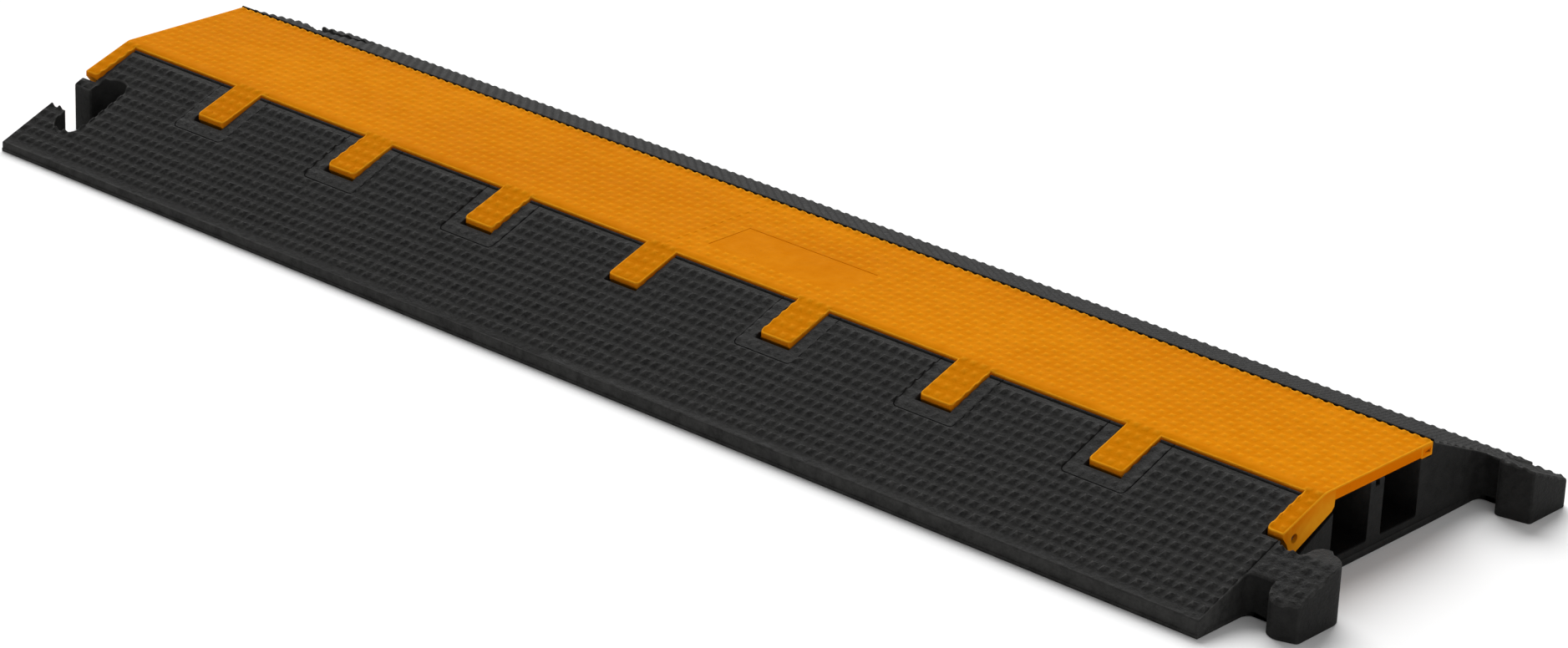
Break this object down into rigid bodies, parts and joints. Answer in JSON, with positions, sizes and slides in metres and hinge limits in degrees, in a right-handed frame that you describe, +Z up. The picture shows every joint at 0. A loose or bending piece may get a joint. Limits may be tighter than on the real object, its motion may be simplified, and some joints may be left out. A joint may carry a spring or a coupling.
{
  "type": "cable protector ramp",
  "caption": "Low floor ramp with cable channels under a hinged flip-up lid; T lugs and sockets join modules end to end.",
  "frame": {"origin": "centre of the flat underside: midway between the two end faces and midway between the two toes", "axes": "+X along the channels towards the end with the T lugs, +Y away from the hinge side, +Z up"},
  "size_m": [1.0415, 0.322, 0.052],
  "materials": {
    "base_rubber": "matt black moulded rubber with a raised stud tread",
    "lid_plastic": "satin orange moulded plastic with a shallow stud tread",
    "rod_steel": "dull drawn steel"
  },
  "bodies": {
    "base": {"base": "base_rubber", "hinge_rod": "rod_steel"},
    "lid": {"lid": "lid_plastic"}
  },
  "joints": [
    {"name": "lid_hinge", "type": "hinge", "parent": "base", "child": "lid", "pos_m": [0, -0.0775, 0.033], "axis": [1, 0, 0], "range_deg": [0, 102]}
  ]
}
